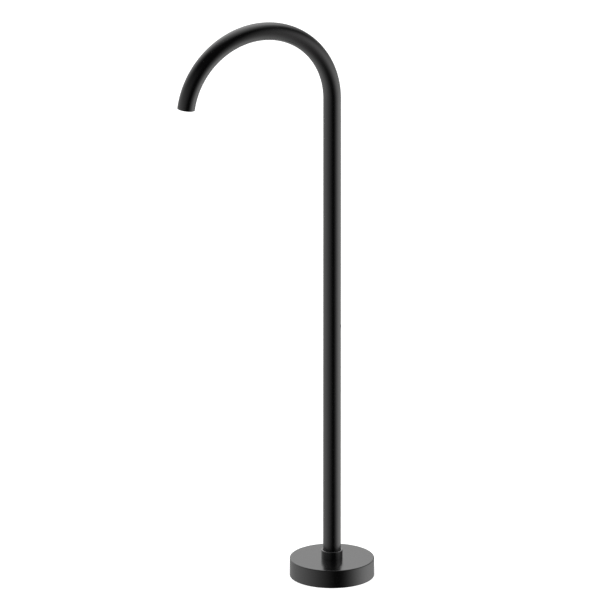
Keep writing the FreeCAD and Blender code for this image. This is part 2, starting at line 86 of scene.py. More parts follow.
def length(name, description, default):
    """A size in metres, shown in the scene's units."""
    return bpy.props.FloatProperty(name=name, description=description, default=default, min=0,
                                   unit="LENGTH", precision=4)


def colour(name, description, default):
    """A colour, from its sRGB hex value."""
    return bpy.props.FloatVectorProperty(name=name, description=description, default=linear(default)[:3],
                                         size=3, min=0, max=1, subtype="COLOR")


class BathFillerTube(bpy.types.PropertyGroup):
    """The sizes of the arched tube."""
    diameter: length("Diameter", "Outside diameter of the tube", size_of("spout_tube").x)
    wall: length("Wall", "Thickness of the tube's wall", 1.5 * MM)
    foot: length("Foot", "Height of the tube's lower end above the floor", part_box("spout_tube")[0].z)
    spring: length("Spring Height", "Height at which the riser turns into the arch", 893 * MM)
    arch_radius: length("Arch Radius", "Radius of the arch, to the middle of the tube", 144 * MM)
    arch_angle: bpy.props.FloatProperty(name="Arch Angle", description="How far the arch turns",
                                        default=math.radians(172), min=0, max=math.pi, subtype="ANGLE")
    rim: length("Rim Rounding", "Rounding of the two edges of each open end", 0.4 * MM)
    screw_hole: length("Screw Hole", "Diameter of the hole for the screw in the back",
                       size_of("set_screw").x + 0.1 * MM)
    end_bore: length("End Bore", "Diameter of the straight bore in the open end", 29 * MM)
    end_bore_depth: length("End Bore Depth", "How far that bore reaches into the tube", 14.5 * MM)

    def outlet(self):
        """The middle of the open end."""
        return Vector((0, -self.arch_radius * (1 - math.cos(self.arch_angle)),
                       self.spring + self.arch_radius * math.sin(self.arch_angle)))


class BathFillerCover(bpy.types.PropertyGroup):
    """The sizes of the round cover and of the collar on it."""
    diameter: length("Diameter", "Diameter of the cover", size_of("cover_disc").x)
    height: length("Height", "Height of the cover", size_of("cover_disc").z)
    wall: length("Wall", "Thickness of the cover's metal", 2.5 * MM)
    edge: length("Top Edge", "Rounding of the cover's top edge", 1.6 * MM)
    foot_edge: length("Foot Edge", "Rounding of the edges that stand on the floor", 0.4 * MM)
    hole: length("Hole", "Diameter of the hole for the collar's neck", 35.1 * MM)
    collar_diameter: length("Collar Diameter", "Diameter of the collar", size_of("cover_collar").x)
    collar_bore: length("Collar Bore", "Diameter of the bore that the tube runs in", 32.4 * MM)
    collar_top: length("Collar Top", "Height of the collar's top above the floor",
                       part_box("cover_collar")[1].z)
    collar_edge: length("Collar Edge", "Rounding of the collar's edges", 0.9 * MM)


class BathFillerScrews(bpy.types.PropertyGroup):
    """The sizes of the socket screws that hold the hub down."""
    count: bpy.props.IntProperty(name="Count", description="How many screws stand round the tube",
                                 default=4, min=1)
    circle: length("Circle", "Diameter of the circle that the screws stand on", 52 * MM)
    head: length("Head", "Diameter of a screw's head", 8.5 * MM)
    head_height: length("Head Height", "Height of a screw's head", 5 * MM)
    seat: length("Seat", "Height of the flange under the heads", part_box("hub_screws")[1].z - 5 * MM)
    key: length("Key", "Width of the socket for the key, across its flats", 4 * MM)
    key_depth: length("Key Depth", "Depth of the socket for the key", 2.5 * MM)
    shank: length("Shank", "Diameter of a screw's shank", 5 * MM)
    shank_length: length("Shank Length", "Length of a screw's shank", 12 * MM)
    ribs: bpy.props.IntProperty(name="Ribs", description="How many ribs grip round each head",
                                default=36, min=3)


class BathFillerOutlet(bpy.types.PropertyGroup):
    """The sizes of the drilled discs in the outlet."""
    diameter: length("Diameter", "Diameter of the insert and of the screen on it", 20.3 * MM)
    recess: length("Recess", "How far the insert's face lies inside the open end", 1.4 * MM)
    thickness: length("Thickness", "Thickness of the insert", 7.5 * MM)
    hole: length("Hole", "Diameter of the insert's holes", 2.2 * MM)
    pitch: length("Pitch", "Distance between the insert's rings of holes", 2.6 * MM)
    rings: bpy.props.IntProperty(name="Rings", description="Rings of holes round the insert's middle hole",
                                 default=3, min=0)
    screen_thickness: length("Screen Thickness", "Thickness of the screen", 0.5 * MM)
    screen_hole: length("Screen Hole", "Diameter of the screen's holes", 1.4 * MM)
    screen_pitch: length("Screen Pitch", "Distance between the screen's rings of holes", 2.05 * MM)
    screen_rings: bpy.props.IntProperty(name="Screen Rings", description="Rings of holes round the screen's "
                                        "middle hole", default=4, min=0)


class BathFillerFinish(bpy.types.PropertyGroup):
    """The colours of the finishes."""
    satin_black: colour("Satin Black", "The coat on all that shows", "#020202")
    roughness: bpy.props.FloatProperty(
        name="Coat Roughness", description="How much the coat blurs what it mirrors", default=0.2, min=0,
        max=1, subtype="FACTOR")
    brass: colour("Brass", "The turned fittings", "#DDBB7A")
    stainless: colour("Stainless Steel", "The inner pipe, the screws and the screen", "#C4C3C0")
    zinc: colour("Zinc Plating", "The plate on the floor", "#B4BBC6")
    rubber: colour("Rubber", "The seals and the gasket", "#17171A")
    acetal: colour("Acetal", "The plain bearings and the insert", "#DEDCD3")
    black_oxide: colour("Black Oxide", "The screw in the back", "#48494E")
    moulded_black: colour("Moulded Black", "The housing in the outlet", "#101012")


class BathFillerStudio(bpy.types.PropertyGroup):
    """The camera's angle and the light."""
    azimuth: bpy.props.FloatProperty(name="Azimuth", description="Where the camera stands round the object",
                                     default=math.radians(64.25), subtype="ANGLE")
    elevation: bpy.props.FloatProperty(name="Elevation", description="How far the camera looks down",
                                       default=math.radians(18.64), subtype="ANGLE")
    lens: bpy.props.FloatProperty(
        name="Lens", description="Focal length: so long that the riser's sides stay parallel", default=1600,
        min=1, subtype="DISTANCE_CAMERA")
    frame: length("Frame", "Height that the picture takes in", 1.0689)
    aim_left: length("Aim Left", "How far the picture's middle is to the left of the riser", 56.9 * MM)
    aim_up: length("Aim Up", "How far the picture's middle is above the foot", 488.9 * MM)
    floor_radius: length("Floor Radius", "How far the floor reaches", 12.0)


# ---------------------------------------------------------------- building helpers


def add(tree, kind, inputs=None, **settings):
    """Adds a node. Each input, by name or number, is a value, an output, or a node for its first output."""
    node = tree.nodes.new(kind)
    for name, setting in settings.items():
        setattr(node, name, setting)
    for socket, source in (inputs or {}).items():
        if isinstance(source, bpy.types.Node):
            source = next(output for output in source.outputs if output.enabled)
        if isinstance(source, bpy.types.NodeSocket):
            tree.links.new(source, node.inputs[socket])
        else:
            node.inputs[socket].default_value = source
    return node


def new_material(name):
    """An empty node material of that name."""
    material = bpy.data.materials.new(name)
    material.use_nodes = True
    material.node_tree.nodes.clear()
    return material


def finish_material(material, tint, roughness, relief, surface):
    """Ends a material: what its tint follows, the name of its own colour and a second one, what its roughness
    follows and between which limits, what its relief follows, how strongly and how deep, and the rest."""
    tree = material.node_tree
    tint_by, own, second = tint
    own_colour = [*getattr(bpy.context.scene.bath_filler_finish, own), 1]
    mixed = add(tree, "ShaderNodeMix", {"Factor": tint_by, "A": own_colour, "B": linear(second)},
                data_type="RGBA")
    varied = add(tree, "ShaderNodeMapRange", dict(zip(("Value", "To Min", "To Max"), roughness)))
    bumps = add(tree, "ShaderNodeBump", dict(zip(("Height", "Strength", "Distance"), relief)))
    skin = add(tree, "ShaderNodeBsdfPrincipled", {
        "Base Color": mixed, "Roughness": varied, "Normal": bumps, **surface})
    add(tree, "ShaderNodeOutputMaterial", {"Surface": skin})
    return material


def place(piece, body, slot, *nodes):
    """Hands a finished piece to the frame: what it rides on and what it stands for; the slot of its finish is
    not used.
    """
    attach(piece, body)
    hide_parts(*nodes)


def new_piece(name, data):
    """A new object in the scene, at the origin, that shows a mesh or holds a lamp or camera."""
    piece = bpy.data.objects.new(name, data)
    bpy.context.scene.collection.objects.link(piece)
    return piece


SOCKETS = {int: "NodeSocketInt", float: "NodeSocketFloat", Vector: "NodeSocketVector",
           bpy.types.Material: "NodeSocketMaterial"}


def new_node_tree(name, sizes):
    """A geometry tree with a named input for each size, and what those inputs give."""
    tree = bpy.data.node_groups.new(name, "GeometryNodeTree")
    tree.interface.new_socket("Geometry", in_out="OUTPUT", socket_type="NodeSocketGeometry")
    for label, size in sizes.items():
        tree.interface.new_socket(label, in_out="INPUT", socket_type=SOCKETS[type(size)])
    return tree, add(tree, "NodeGroupInput").outputs


def raised(tree, geometry, height):
    """A geometry moved up by a height."""
    lift = add(tree, "ShaderNodeCombineXYZ", {"Z": height})
    return add(tree, "GeometryNodeTransform", {"Geometry": geometry, "Translation": lift})


def in_outlet(tree, geometry, given):
    """A geometry moved from the origin to the open end of the arch, and tilted as that is."""
    tilt = add(tree, "ShaderNodeCombineXYZ", {"X": given["Arch Angle"]})
    return add(tree, "GeometryNodeTransform", {
        "Geometry": geometry, "Translation": given["Outlet"], "Rotation": tilt})


def finished(tree, geometry, given):
    """Ends a tree: everything real, in its finish."""
    real = add(tree, "GeometryNodeRealizeInstances", {"Geometry": geometry})
    coated = add(tree, "GeometryNodeSetMaterial", {"Geometry": real, "Material": given["Finish"]})
    add(tree, "NodeGroupOutput", {"Geometry": coated})
    return tree


def grow(name, tree, sizes):
    """Runs a geometry tree with these sizes and keeps the result as a plain mesh."""
    piece = new_piece(name, bpy.data.meshes.new(name))
    modifier = piece.modifiers.new("Shape", "NODES")
    modifier.node_group = tree
    for item in tree.interface.items_tree:
        if item.in_out == "INPUT":
            modifier[item.identifier] = sizes[item.name]
    piece.update_tag()
    evaluated = piece.evaluated_get(bpy.context.evaluated_depsgraph_get())
    mesh = bpy.data.meshes.new_from_object(evaluated)
    piece.modifiers.remove(modifier)
    piece.data = mesh
    mesh.name = name
    while mesh.materials[0] is None:  # a boolean leaves an empty slot in front
        mesh.materials.pop(index=0)
    mesh.shade_smooth()
    mesh.set_sharp_from_angle(angle=SHARP)
    return piece


def finished_mesh(name, shape, material):
    """The plain mesh of a shape, in its finish."""
    mesh = bpy.data.meshes.new(name)
    shape.to_mesh(mesh)
    shape.free()
    mesh.materials.append(material)
    return mesh


def rounded(outline):
    """The points of a closed outline of (radius, height, rounding) corners, with its corners rounded."""
    points = []
    for i, (across, up, rounding) in enumerate(outline):
        corner = Vector((across, up))
        if not rounding:
            points.append(corner)
            continue
        before = (Vector(outline[i - 1][:2]) - corner).normalized()
        after = (Vector(outline[(i + 1) % len(outline)][:2]) - corner).normalized()
        half = before.angle(after) / 2
        reach = rounding / math.tan(half)
        centre = corner + (before + after).normalized() * rounding / math.sin(half)
        start = corner + before * reach - centre
        turn = -2 * math.atan2(start.cross((before + after)), start.dot(-(before + after)))
        points.append(corner + before * (reach + GUARD))
        for step in range(ROUNDING_STEPS + 1):
            angle = turn * step / ROUNDING_STEPS
            points.append(centre + Vector((
                start.x * math.cos(angle) - start.y * math.sin(angle),
                start.x * math.sin(angle) + start.y * math.cos(angle),
            )))
        points.append(corner + after * (reach + GUARD))
    return points


def turned(name, outline, material):
    """A closed outline turned once round the Z axis, as a lathe makes it."""
    points = rounded(outline)
    shape = bmesh.new()
    rings = []
    for side in range(TURNED_SIDES):
        angle = 2 * math.pi * side / TURNED_SIDES
        rings.append([shape.verts.new((p.x * math.cos(angle), p.x * math.sin(angle), p.y)) for p in points])
    for side in range(TURNED_SIDES):
        here, there = rings[side - 1], rings[side]
        for i in range(len(points)):
            shape.faces.new((here[i - 1], there[i - 1], there[i], here[i]))
    bmesh.ops.recalc_face_normals(shape, faces=shape.faces)
    mesh = finished_mesh(name, shape, material)
    mesh.shade_smooth()
    mesh.set_sharp_from_angle(angle=SHARP)
    return new_piece(name, mesh)


def repaint(material, *nodes):
    """Gives carried-over nodes a finished material in place of their plain one."""
    for node in nodes:
        for material_slot in frame["nodes"][node].material_slots:
            material_slot.material = material


# ---------------------------------------------------------------- finishes

METAL = {"Metallic": 1.0}


def satin_black_coat(name, ior):
    """Satin black vapour-deposited coat on brass."""
    # A hard, dense black film laid on brass in a vacuum. It is nearly black in itself, and mirrors more than
    # a lacquer does, so that it shows the room as soft grey bands. The collar gets a copy of the coat with a
    # higher IOR, so that it mirrors more and comes out lighter: painted light, a lit copy of the same coat.
    # The brass of the tube and the cover is finely blasted, which leaves a grain of about 0.2 mm, far too
    # fine to show from here, so it is drawn at 1.5 mm and kept very shallow.
    blur, spread = bpy.context.scene.bath_filler_finish.roughness, 0.03
    material = new_material(name)
    tree = material.node_tree
    on_piece = add(tree, "ShaderNodeTexCoord").outputs["Object"]
    grain = add(tree, "ShaderNodeTexNoise", {"Vector": on_piece, "Scale": 1 / (1.5 * MM), "Detail": 3.0})
    clouds = add(tree, "ShaderNodeTexNoise", {"Vector": on_piece, "Scale": 1 / (60 * MM), "Detail": 2.0})
    return finish_material(
        material, (grain, "satin_black", "#060607"), (clouds, blur - spread, blur + spread),
        (grain, 0.15, 0.01 * MM), {"IOR": ior})


def lathe_marks(tree, spacing, centre=(0, 0, 0), tilt=0.0):
    """The fine rings that a tool leaves round an axis, which stands at centre and is tilted about X."""
    turned_place = add(tree, "ShaderNodeMapping", {
        "Vector": add(tree, "ShaderNodeTexCoord").outputs["Object"], "Location": centre,
        "Rotation": (tilt, 0, 0)}, vector_type="TEXTURE")
    flat = add(tree, "ShaderNodeVectorMath", {0: turned_place, 1: (1, 1, 0)}, operation="MULTIPLY")
    across = add(tree, "ShaderNodeVectorMath", {0: flat}, operation="LENGTH")
    along = add(tree, "ShaderNodeSeparateXYZ", {"Vector": turned_place}).outputs["Z"]
    ring_place = add(tree, "ShaderNodeCombineXYZ", {"X": across, "Y": along})
    return add(tree, "ShaderNodeTexNoise", {"Vector": ring_place, "Scale": 1 / spacing, "Detail": 1.0},
               noise_dimensions="2D")


def turned_brass(name, centre=(0, 0, 0), tilt=0.0):
    """Turned free-cutting brass."""
    # Bright yellow metal from the lathe. The tool feeds 0.1 mm a turn, too fine to show from here, so its
    # rings are drawn 0.5 mm apart. Handling has dulled it in soft patches.
    material = new_material(name)
    tree = material.node_tree
    marks = lathe_marks(tree, 0.5 * MM, centre, tilt)
    patches = add(tree, "ShaderNodeTexNoise", {
        "Vector": add(tree, "ShaderNodeTexCoord").outputs["Object"], "Scale": 1 / (9 * MM), "Detail": 4.0})
    return finish_material(
        material, (patches, "brass", "#B08C52"), (patches, 0.2, 0.42),
        (marks, 0.5, 0.02 * MM), METAL)


def stainless_steel(name, grain_size):
    """Stainless steel with a grain of this size, in metres along X, Y and Z."""
    # Grey steel with a faint warm cast. Drawing a pipe through its die leaves long fine lines along it,
    # heading and etching leave an even grain. Both are a few hundredths of a millimetre wide, too fine to
    # show from here, and are drawn several times as coarse.
    material = new_material(name)
    tree = material.node_tree
    scaled = add(tree, "ShaderNodeMapping", {
        "Vector": add(tree, "ShaderNodeTexCoord").outputs["Object"],
        "Scale": [1 / size for size in grain_size]})
    grain = add(tree, "ShaderNodeTexNoise", {"Vector": scaled, "Scale": 1.0, "Detail": 3.0})
    return finish_material(
        material, (grain, "stainless", "#A3A19D"), (grain, 0.22, 0.38),
        (grain, 0.4, 0.01 * MM), METAL)


def zinc_plated_steel():
    """Zinc plated and blue passivated steel plate."""
    # A thin bright zinc layer on rolled plate, with the cool blue of its passivation and faint yellow
    # clouds where the bath drained off. The rolled surface under it shows as a soft pebbling of 0.8 mm.
    material = new_material("Zinc_Plated_Steel")
    tree = material.node_tree
    on_piece = add(tree, "ShaderNodeTexCoord").outputs["Object"]
    clouds = add(tree, "ShaderNodeTexNoise", {
        "Vector": on_piece, "Scale": 1 / (22 * MM), "Detail": 5.0, "Distortion": 0.6})
    pebbling = add(tree, "ShaderNodeTexNoise", {"Vector": on_piece, "Scale": 1 / (0.8 * MM), "Detail": 2.0})
    return finish_material(
        material, (clouds, "zinc", "#C9C5AE"), (clouds, 0.3, 0.5),
        (pebbling, 0.5, 0.02 * MM), METAL)


def seal_rubber():
    """Moulded black seal rubber."""
    # Soft black rubber from a polished mould: an even, dull black, with a pale bloom in patches a few
    # millimetres wide, and a fine grain of 0.3 mm that scatters the light.
    material = new_material("Moulded_Seal_Rubber")
    tree = material.node_tree
    on_piece = add(tree, "ShaderNodeTexCoord").outputs["Object"]
    bloom = add(tree, "ShaderNodeTexNoise", {
        "Vector": on_piece, "Scale": 1 / (6 * MM), "Detail": 6.0, "Roughness": 0.65})
    grain = add(tree, "ShaderNodeTexNoise", {"Vector": on_piece, "Scale": 1 / (0.3 * MM)})
    return finish_material(
        material, (bloom, "rubber", "#2E2E30"), (bloom, 0.55, 0.85),
        (grain, 0.4, 0.02 * MM), {"IOR": 1.52})


def natural_acetal(name, centre=(0, 0, 0), tilt=0.0):
    """Natural acetal, turned from bar."""
    # A slippery milky white plastic, slightly translucent at its edges, with the faint rings of the lathe.
    material = new_material(name)
    marks = lathe_marks(material.node_tree, 0.4 * MM, centre, tilt)
    return finish_material(
        material, (marks, "acetal", "#CFCCC0"), (marks, 0.32, 0.46), (marks, 0.4, 0.02 * MM), {
            "IOR": 1.48, "Subsurface Weight": 0.15, "Subsurface Radius": (1, 1, 1),
            "Subsurface Scale": 0.6 * MM})


def black_oxide_steel():
    """Black oxide finish on a turned steel screw."""
    # A hot salt bath turns the steel's skin into a thin blue-black layer that holds a trace of oil, so it
    # is dark and softly shiny. The rings are those of the lathe, round the level axis of the screw.
    material = new_material("Black_Oxide_Steel")
    marks = lathe_marks(material.node_tree, 0.4 * MM, middle_of("set_screw"), -math.pi / 2)
    return finish_material(
        material, (marks, "black_oxide", "#393A41"), (marks, 0.28, 0.42),
        (marks, 0.5, 0.01 * MM), METAL)


def moulded_black_plastic():
    """Injection moulded black ABS."""
    # Black plastic from a finely eroded mould, which leaves an even dull skin with a grain of 0.1 mm. That
    # is too fine to show from here, and is drawn at 0.4 mm.
    material = new_material("Moulded_Black_ABS")
    tree = material.node_tree
    grain = add(tree, "ShaderNodeTexNoise", {
        "Vector": add(tree, "ShaderNodeTexCoord").outputs["Object"], "Scale": 1 / (0.4 * MM), "Detail": 3.0})
    return finish_material(
        material, (grain, "moulded_black", "#19191C"), (grain, 0.35, 0.5),
        (grain, 0.35, 0.02 * MM), {"IOR": 1.54})


# ---------------------------------------------------------------- the pieces


class BATHFILLER_OT_arched_tube(bpy.types.Operator):
    """Make the riser and arch as one bent tube, with its hole for the screw"""
    bl_idname = "bathfiller.arched_tube"
    bl_label = "Arched Tube"

    def execute(self, context):
        tube = context.scene.bath_filler_tube
        arch_length = tube.arch_radius * tube.arch_angle
        sizes = {
            "Middle Radius": (tube.diameter - tube.wall) / 2,
            "Wall": tube.wall,
            "Length": tube.spring - tube.foot + arch_length,
            "Foot": tube.foot,
            "Spring": tube.spring,
            "Arch Radius": tube.arch_radius,
            "Rim": tube.rim,
            "Hole Radius": tube.screw_hole / 2,
            "Hole Height": middle_of("set_screw").z,
            "End Bore Radius": tube.end_bore / 2,
            "End Bore Depth": tube.end_bore_depth,
            "Outlet": tube.outlet(),
            "Arch Angle": tube.arch_angle,
            "Row Spacing": 6 * MM,
            "Sides": 96,
            "Finish": satin_black_coat("Satin_Black_Vapour_Coat", ior=2.0),
        }
        piece = grow("arched_tube", tube_tree(sizes), sizes)
        place(piece, "column", "satin_black", "spout_tube")
        return {"FINISHED"}


def tube_tree(sizes):
    """The tube: its wall's section turned round into a straight pipe, drilled, then bent into the arch."""
    tree, given = new_node_tree("Arched Tube", sizes)
    section = add(tree, "GeometryNodeCurvePrimitiveQuadrilateral", {
        "Width": given["Wall"], "Height": given["Length"]})
    softened = add(tree, "GeometryNodeFilletCurve", {
        "Curve": section, "Count": 10, "Radius": given["Rim"]}, mode="POLY")
    # rows for the bend: as many cuts between two points as their distance holds row spacings
    place_of_point = add(tree, "GeometryNodeInputPosition")
    next_point = add(tree, "GeometryNodeOffsetPointInCurve", {"Offset": 1}).outputs["Point Index"]
    next_place = add(tree, "GeometryNodeFieldAtIndex", {
        "Value": place_of_point, "Index": next_point}, data_type="FLOAT_VECTOR")
    gap = add(tree, "ShaderNodeVectorMath", {0: place_of_point, 1: next_place}, operation="DISTANCE")
    cuts = add(tree, "ShaderNodeMath", {0: gap, 1: given["Row Spacing"]}, operation="DIVIDE")
    rows = add(tree, "GeometryNodeSubdivideCurve", {"Curve": softened, "Cuts": cuts})
    round_path = add(tree, "GeometryNodeCurvePrimitiveCircle", {
        "Resolution": given["Sides"], "Radius": given["Middle Radius"]})
    pipe = add(tree, "GeometryNodeCurveToMesh", {"Curve": round_path, "Profile Curve": rows})
    middle_height = add(tree, "ShaderNodeMath", {0: given["Length"], 1: 0.5, 2: given["Foot"]},
                        operation="MULTIPLY_ADD")
    standing = raised(tree, pipe, middle_height)
    # the level hole in the back for the screw
    drill = add(tree, "GeometryNodeMeshCylinder", {
        "Vertices": 64, "Radius": given["Hole Radius"], "Depth": given["Middle Radius"]})
    hole_place = add(tree, "ShaderNodeCombineXYZ", {"Y": given["Middle Radius"], "Z": given["Hole Height"]})
    aimed = add(tree, "GeometryNodeTransform", {
        "Geometry": drill, "Translation": hole_place, "Rotation": (math.pi / 2, 0, 0)})
    drilled = add(tree, "GeometryNodeMeshBoolean", {"Mesh 1": standing, "Mesh 2": aimed},
                  operation="DIFFERENCE", solver="EXACT")
    # the bend: above the spring, height becomes an angle round a level axis beside the riser
    on_pipe = add(tree, "ShaderNodeSeparateXYZ", {"Vector": add(tree, "GeometryNodeInputPosition")}).outputs
    above = add(tree, "ShaderNodeMath", {0: on_pipe["Z"], 1: given["Spring"]}, operation="SUBTRACT")
    in_arch = add(tree, "ShaderNodeMath", {0: above, 1: 0.0}, operation="MAXIMUM")
    angle = add(tree, "ShaderNodeMath", {0: in_arch, 1: given["Arch Radius"]}, operation="DIVIDE")
    in_riser = add(tree, "ShaderNodeMath", {0: on_pipe["Z"], 1: given["Spring"]}, operation="MINIMUM")
    arm = add(tree, "ShaderNodeMath", {0: on_pipe["Y"], 1: given["Arch Radius"]}, operation="ADD")
    cosine = add(tree, "ShaderNodeMath", {0: angle}, operation="COSINE")
    sine = add(tree, "ShaderNodeMath", {0: angle}, operation="SINE")
    back = add(tree, "ShaderNodeMath", {0: arm, 1: cosine}, operation="MULTIPLY")
    moved_back = add(tree, "ShaderNodeMath", {0: back, 1: given["Arch Radius"]}, operation="SUBTRACT")
    moved_up = add(tree, "ShaderNodeMath", {0: arm, 1: sine, 2: in_riser}, operation="MULTIPLY_ADD")
    bent_place = add(tree, "ShaderNodeCombineXYZ", {"X": on_pipe["X"], "Y": moved_back, "Z": moved_up})
    bent = add(tree, "GeometryNodeSetPosition", {"Geometry": drilled, "Position": bent_place})
    # the straight bore in the open end
    both_ways = add(tree, "ShaderNodeMath", {0: given["End Bore Depth"], 1: 2.0}, operation="MULTIPLY")
    cutter = add(tree, "GeometryNodeMeshCylinder", {
        "Vertices": given["Sides"], "Radius": given["End Bore Radius"], "Depth": both_ways})
    bored = add(tree, "GeometryNodeMeshBoolean", {"Mesh 1": bent, "Mesh 2": in_outlet(tree, cutter, given)},
                operation="DIFFERENCE", solver="EXACT")
    return finished(tree, bored, given)


class BATHFILLER_OT_base_cover(bpy.types.Operator):
    """Make the round cover and the collar on it, as turned pieces"""
    bl_idname = "bathfiller.base_cover"
    bl_label = "Base Cover"

    def execute(self, context):
        cover = context.scene.bath_filler_cover
        coat = bpy.data.materials["Satin_Black_Vapour_Coat"]
        outside, hole = cover.diameter / 2, cover.hole / 2
        inside, ceiling = outside - cover.wall, cover.height - cover.wall
        inner_corner, small_edge, neck_gap, play = 1.0 * MM, 0.2 * MM, 0.05 * MM, 0.1 * MM
        disc = turned("round_cover", [
            (inside, 0, cover.foot_edge), (outside, 0, cover.foot_edge), (outside, cover.height, cover.edge),
            (hole, cover.height, 0), (hole, ceiling, 0), (inside, ceiling, inner_corner),
        ], coat)
        place(disc, "cover", "satin_black", "cover_disc")
        neck_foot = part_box("cover_collar")[0].z
        neck, bore, outer = hole - neck_gap, cover.collar_bore / 2, cover.collar_diameter / 2
        ring_low, ring_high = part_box("collar_o_ring")
        groove_foot, groove_top, groove_back = ring_low.z - play, ring_high.z + play, ring_high.x + play
        # The collar's coat is a lighter copy of the tube's, with a higher IOR: painted light.
        collar = turned("tube_collar", [
            (bore, neck_foot, small_edge), (neck, neck_foot, small_edge), (neck, cover.height, 0),
            (outer, cover.height, small_edge), (outer, cover.collar_top, cover.collar_edge),
            (bore, cover.collar_top, cover.collar_edge), (bore, groove_top, 0), (groove_back, groove_top, 0),
            (groove_back, groove_foot, 0), (bore, groove_foot, 0),
        ], satin_black_coat("Satin_Black_Collar_Coat_Painted_Lighter", ior=3.2))
        place(collar, "cover", "satin_black", "cover_collar")
        return {"FINISHED"}


LAST_BAND = 0.45  # past this share of the head's height from its middle lies the pulled-in end


class BATHFILLER_OT_hub_screws(bpy.types.Operator):
    """Make the socket screws round the foot of the tube"""
    bl_idname = "bathfiller.hub_screws"
    bl_label = "Hub Screws"

    def execute(self, context):
        screws = context.scene.bath_filler_screws
        sizes = {
            "Count": screws.count,
            "Circle Radius": screws.circle / 2,
            "Seat": screws.seat,
            "Head Radius": screws.head / 2,
            "Head Height": screws.head_height,
            "Edge": 0.45 * MM,
            "Ribs": screws.ribs,
            "Rib Depth": 0.12 * MM,
            "Key Radius": screws.key / math.sqrt(3),
            "Key Depth": screws.key_depth,
            "Shank Radius": screws.shank / 2,
            "Shank Length": screws.shank_length,
            "Finish": stainless_steel("Headed_Stainless_Steel", (0.3 * MM, 0.3 * MM, 0.3 * MM)),
        }
        piece = grow("socket_screws", screw_tree(sizes), sizes)
        place(piece, "base", "stainless", "hub_screws")
        return {"FINISHED"}


def screw_tree(sizes):
    """One socket screw, with a ribbed head, repeated round a circle."""
    tree, given = new_node_tree("Hub Screws", sizes)
    # the head: a cylinder in bands, pulled in at both ends and ribbed between them
    two_a_rib = add(tree, "ShaderNodeMath", {0: given["Ribs"], 1: 2.0}, operation="MULTIPLY")
    blank = add(tree, "GeometryNodeMeshCylinder", {
        "Vertices": two_a_rib, "Side Segments": 8, "Radius": given["Head Radius"],
        "Depth": given["Head Height"]})
    on_head = add(tree, "GeometryNodeInputPosition")
    from_axis = add(tree, "ShaderNodeSeparateXYZ", {"Vector": on_head}).outputs
    height = add(tree, "ShaderNodeMath", {0: from_axis["Z"], 1: given["Head Height"]}, operation="DIVIDE")
    from_middle = add(tree, "ShaderNodeMath", {0: height}, operation="ABSOLUTE")
    at_end = add(tree, "ShaderNodeMath", {0: from_middle, 1: LAST_BAND}, operation="GREATER_THAN")
    turn = add(tree, "ShaderNodeMath", {0: from_axis["Y"], 1: from_axis["X"]}, operation="ARCTAN2")
    phase = add(tree, "ShaderNodeMath", {0: turn, 1: given["Ribs"]}, operation="MULTIPLY")
    wave = add(tree, "ShaderNodeMath", {0: phase}, operation="COSINE")
    valley = add(tree, "ShaderNodeMath", {0: wave, 1: 0.0}, operation="LESS_THAN")
    rib = add(tree, "ShaderNodeMath", {0: valley, 1: given["Rib Depth"]}, operation="MULTIPLY")
    pull = add(tree, "ShaderNodeMix", {"Factor": at_end, "A": rib, "B": given["Edge"]})
    share = add(tree, "ShaderNodeMath", {0: pull, 1: given["Head Radius"]}, operation="DIVIDE")
    keep = add(tree, "ShaderNodeMath", {0: 1.0, 1: share}, operation="SUBTRACT")
    inward = add(tree, "ShaderNodeCombineXYZ", {"X": keep, "Y": keep, "Z": 1.0})
    drawn_in = add(tree, "ShaderNodeVectorMath", {0: on_head, 1: inward}, operation="MULTIPLY")
    shaped = add(tree, "GeometryNodeSetPosition", {"Geometry": blank, "Position": drawn_in})
    half_head = add(tree, "ShaderNodeMath", {0: given["Head Height"], 1: 0.5}, operation="MULTIPLY")
    head = raised(tree, shaped, half_head)
    # the shank, which ends inside the head
    overlap = add(tree, "ShaderNodeMath", {0: given["Shank Length"], 1: half_head}, operation="ADD")
    shank_blank = add(tree, "GeometryNodeMeshCylinder", {
        "Vertices": 32, "Radius": given["Shank Radius"], "Depth": overlap})
    half_overlap = add(tree, "ShaderNodeMath", {0: overlap, 1: 0.5}, operation="MULTIPLY")
    shank_middle = add(tree, "ShaderNodeMath", {0: half_overlap, 1: given["Shank Length"]},
                       operation="SUBTRACT")
    shank = raised(tree, shank_blank, shank_middle)
    solid = add(tree, "GeometryNodeMeshBoolean", {"Mesh 2": head}, operation="UNION", solver="EXACT")
    tree.links.new(shank.outputs["Geometry"], solid.inputs["Mesh 2"])
    # the socket for the key
    key_length = add(tree, "ShaderNodeMath", {0: given["Key Depth"], 1: 2.0}, operation="MULTIPLY")
    key = add(tree, "GeometryNodeMeshCylinder", {
        "Vertices": 6, "Radius": given["Key Radius"], "Depth": key_length})
    screw = add(tree, "GeometryNodeMeshBoolean", {
        "Mesh 1": solid, "Mesh 2": raised(tree, key, given["Head Height"])},
        operation="DIFFERENCE", solver="EXACT")
    # round the circle
    seats = add(tree, "GeometryNodeMeshCircle", {
        "Vertices": given["Count"], "Radius": given["Circle Radius"]})
    set_out = add(tree, "GeometryNodeInstanceOnPoints", {"Points": seats, "Instance": screw})
    return finished(tree, raised(tree, set_out, given["Seat"]), given)


